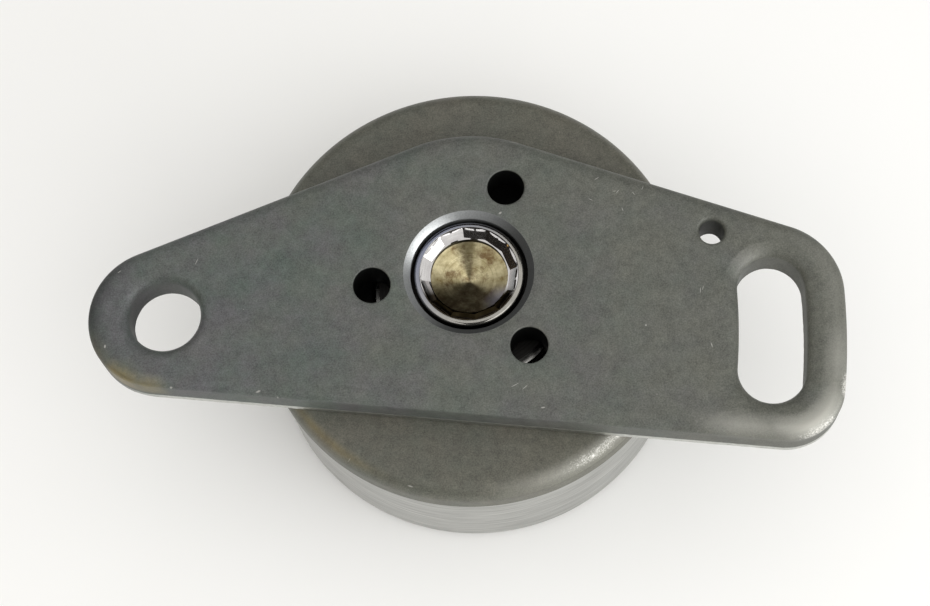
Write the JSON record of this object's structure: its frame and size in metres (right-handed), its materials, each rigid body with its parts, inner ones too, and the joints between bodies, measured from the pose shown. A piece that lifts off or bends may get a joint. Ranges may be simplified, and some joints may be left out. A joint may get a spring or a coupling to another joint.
{
  "type": "timing belt tensioner",
  "caption": "Timing belt tensioner: a flat pivoting plate with an adjusting slot that carries a smooth idler pulley on a sealed ball bearing.",
  "frame": {"origin": "on the pulley's axis, in the middle of its width", "axes": "+X from the pivot hole through the pulley's axis, +Z along the pulley's axis towards the plate's mounting face"},
  "size_m": [0.1044, 0.0614, 0.0319],
  "materials": {
    "plate_steel": "dark phosphated sheet steel, rolled rims",
    "pulley_steel": "dark phosphated turned steel",
    "stud_steel": "bright turned steel",
    "spacer_steel": "black oxide",
    "bearing_steel": "ground and polished bearing steel",
    "seal_core_steel": "plain pressed sheet",
    "cage_steel": "plain pressed sheet",
    "seal_rubber": "matt black moulded rubber"
  },
  "bodies": {
    "bracket": {"base_plate": "plate_steel", "hub_stud": "stud_steel", "spacer_washer": "spacer_steel", "inner_ring": "bearing_steel"},
    "pulley": {"pulley": "pulley_steel", "outer_ring": "bearing_steel", "upper_seal": "seal_rubber", "upper_seal_core": "seal_core_steel", "lower_seal": "seal_rubber", "lower_seal_core": "seal_core_steel"},
    "cage": {"cage_upper": "cage_steel", "cage_lower": "cage_steel", "cage_rivets": "cage_steel"},
    "ball_1_body": {"ball_1": "bearing_steel"},
    "ball_2_body": {"ball_2": "bearing_steel"},
    "ball_3_body": {"ball_3": "bearing_steel"},
    "ball_4_body": {"ball_4": "bearing_steel"},
    "ball_5_body": {"ball_5": "bearing_steel"},
    "ball_6_body": {"ball_6": "bearing_steel"},
    "ball_7_body": {"ball_7": "bearing_steel"},
    "ball_8_body": {"ball_8": "bearing_steel"}
  },
  "joints": [
    {"name": "pulley_spin", "type": "hinge", "parent": "bracket", "child": "pulley", "pos_m": [0, 0, 0], "axis": [0, 0, 1], "continuous": true},
    {"name": "cage_spin", "type": "hinge", "parent": "bracket", "child": "cage", "pos_m": [0, 0, 0], "axis": [0, 0, 1], "continuous": true},
    {"name": "ball_1_roll", "type": "hinge", "parent": "cage", "child": "ball_1_body", "pos_m": [0.01675, 0, 0], "axis": [0, 0, 1], "continuous": true},
    {"name": "ball_2_roll", "type": "hinge", "parent": "cage", "child": "ball_2_body", "pos_m": [0.01184, 0.01184, 0], "axis": [0, 0, 1], "continuous": true},
    {"name": "ball_3_roll", "type": "hinge", "parent": "cage", "child": "ball_3_body", "pos_m": [0, 0.01675, 0], "axis": [0, 0, 1], "continuous": true},
    {"name": "ball_4_roll", "type": "hinge", "parent": "cage", "child": "ball_4_body", "pos_m": [-0.01184, 0.01184, 0], "axis": [0, 0, 1], "continuous": true},
    {"name": "ball_5_roll", "type": "hinge", "parent": "cage", "child": "ball_5_body", "pos_m": [-0.01675, 0, 0], "axis": [0, 0, 1], "continuous": true},
    {"name": "ball_6_roll", "type": "hinge", "parent": "cage", "child": "ball_6_body", "pos_m": [-0.01184, -0.01184, 0], "axis": [0, 0, 1], "continuous": true},
    {"name": "ball_7_roll", "type": "hinge", "parent": "cage", "child": "ball_7_body", "pos_m": [0, -0.01675, 0], "axis": [0, 0, 1], "continuous": true},
    {"name": "ball_8_roll", "type": "hinge", "parent": "cage", "child": "ball_8_body", "pos_m": [0.01184, -0.01184, 0], "axis": [0, 0, 1], "continuous": true}
  ],
  "couplings": [
    {"joint": "cage_spin", "follows": "pulley_spin", "ratio": 0.61851},
    {"joint": "ball_1_roll", "follows": "pulley_spin", "ratio": 1.9911},
    {"joint": "ball_2_roll", "follows": "pulley_spin", "ratio": 1.9911},
    {"joint": "ball_3_roll", "follows": "pulley_spin", "ratio": 1.9911},
    {"joint": "ball_4_roll", "follows": "pulley_spin", "ratio": 1.9911},
    {"joint": "ball_5_roll", "follows": "pulley_spin", "ratio": 1.9911},
    {"joint": "ball_6_roll", "follows": "pulley_spin", "ratio": 1.9911},
    {"joint": "ball_7_roll", "follows": "pulley_spin", "ratio": 1.9911},
    {"joint": "ball_8_roll", "follows": "pulley_spin", "ratio": 1.9911}
  ]
}
